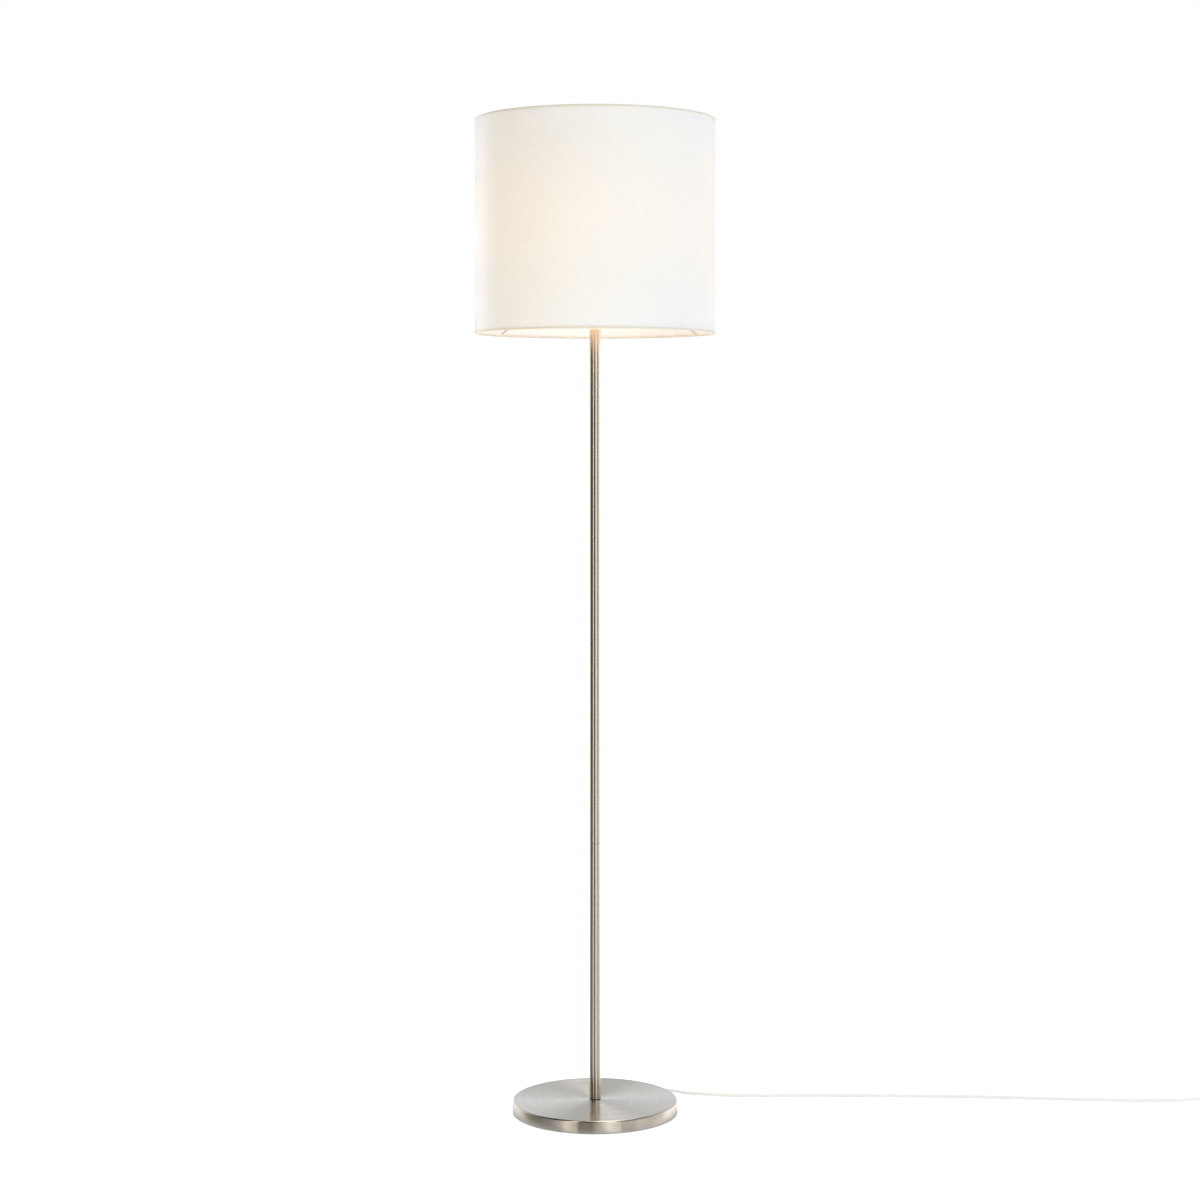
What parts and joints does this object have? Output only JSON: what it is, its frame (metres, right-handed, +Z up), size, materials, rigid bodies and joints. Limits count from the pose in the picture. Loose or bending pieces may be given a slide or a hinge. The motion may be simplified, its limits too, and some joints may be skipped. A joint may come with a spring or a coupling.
{
  "type": "column floor lamp",
  "caption": "Column floor lamp: round weighted base, straight three-piece column, drum textile shade and a floor cord with an in-line foot switch.",
  "frame": {"origin": "on the floor under the column, at the centre of the base", "axes": "+Z up along the column, +Y to the back of the lamp as pictured, +X to the side that the cord runs to"},
  "size_m": [1.4384, 0.4, 1.65],
  "materials": {
    "satin_nickel": "satin nickel plate, turned brushing on the base and lengthwise satin on the tubes",
    "cast_iron": "raw sand casting, painted black",
    "plate_steel": "zinc-plated",
    "floor_pad": "fine-pored foam rubber",
    "foot_gasket": "black, smooth",
    "brass": "turned, unpolished",
    "flex_sheath": "white, slightly glossy flexible sheath",
    "flex_fittings": "white moulded plastic with a fine grain",
    "switch_button": "white, smooth",
    "switch_contacts": "dark moulded block",
    "core_wires": "brown and blue core insulation",
    "holder_plastic": "white moulded thermoset",
    "holder_core": "unglazed",
    "bulb_metal": "nickel-plated, satin",
    "bulb_tip": "black insulator with a soldered contact",
    "bulb_housing": "white",
    "bulb_globe": "opal diffuser",
    "shade_textile": "white plain-woven textile, lets warm light through",
    "shade_sheet": "white translucent sheet bonded to the textile",
    "shade_hem": "folded textile strip, looks darker where layers overlap",
    "shade_wire": "white powder coat",
    "coil_tie": "white strap",
    "pin_metal": "nickel-plated"
  },
  "bodies": {
    "stand": {"base_shell": "satin_nickel", "base_weight": "cast_iron", "bottom_plate": "plate_steel", "floor_pad": "floor_pad", "bottom_screws": "plate_steel", "base_stud": "brass", "stud_washer": "plate_steel", "stud_nut": "plate_steel", "cord_clamp": "flex_fittings", "clamp_screws": "plate_steel", "cord_grommet": "flex_fittings", "foot_insert": "brass", "foot_gasket": "foot_gasket", "lower_tube": "satin_nickel", "lower_socket": "brass", "middle_stud": "brass", "middle_tube": "satin_nickel", "middle_socket": "brass", "upper_stud": "brass", "upper_tube": "satin_nickel", "top_insert": "brass", "column_cap": "satin_nickel", "neck_nipple": "brass", "neck_sleeve": "holder_plastic", "column_cable": "flex_sheath", "holder_cap": "holder_plastic", "holder_body": "holder_plastic", "holder_core": "holder_core", "screw_sleeve": "brass", "holder_contacts": "brass", "terminal_screws": "plate_steel", "lead_wires": "core_wires", "flex_run": "flex_sheath", "switch_base": "flex_fittings", "switch_cover": "flex_fittings", "button_spring": "plate_steel", "switch_contacts": "switch_contacts", "switch_screws": "plate_steel", "flex_link": "flex_sheath", "flex_coil": "flex_sheath", "coil_tie": "coil_tie", "flex_tail": "flex_sheath", "plug_body": "flex_fittings", "plug_pins": "pin_metal"},
    "shade": {"shade_fabric": "shade_textile", "shade_liner": "shade_sheet", "shade_seam": "shade_textile", "top_hoop": "shade_wire", "bottom_hoop": "shade_wire", "carrier_wires": "shade_wire", "carrier_ring": "shade_wire", "top_hem": "shade_hem", "bottom_hem": "shade_hem"},
    "clamp_ring": {"shade_ring": "holder_plastic"},
    "bulb": {"bulb_cap": "bulb_metal", "bulb_tip": "bulb_tip", "bulb_housing": "bulb_housing", "bulb_globe": "bulb_globe"},
    "button": {"switch_button": "switch_button"}
  },
  "joints": [
    {"name": "shade_turn", "type": "hinge", "parent": "stand", "child": "shade", "pos_m": [0, 0, 1.38], "axis": [0, 0, 1], "continuous": true},
    {"name": "clamp_ring_turn", "type": "hinge", "parent": "stand", "child": "clamp_ring", "pos_m": [0, 0, 1.38], "axis": [0, 0, 1], "range_deg": [0, 2700]},
    {"name": "bulb_turn", "type": "hinge", "parent": "stand", "child": "bulb", "pos_m": [0, 0, 1.38], "axis": [0, 0, 1], "range_deg": [0, 1440]},
    {"name": "button_press", "type": "slide", "parent": "stand", "child": "button", "axis": [0, 0, -1], "range_m": [0, 0.003], "stiffness_N_per_m": 600, "springref_m": -0.003, "deforming": ["button_spring"]}
  ]
}
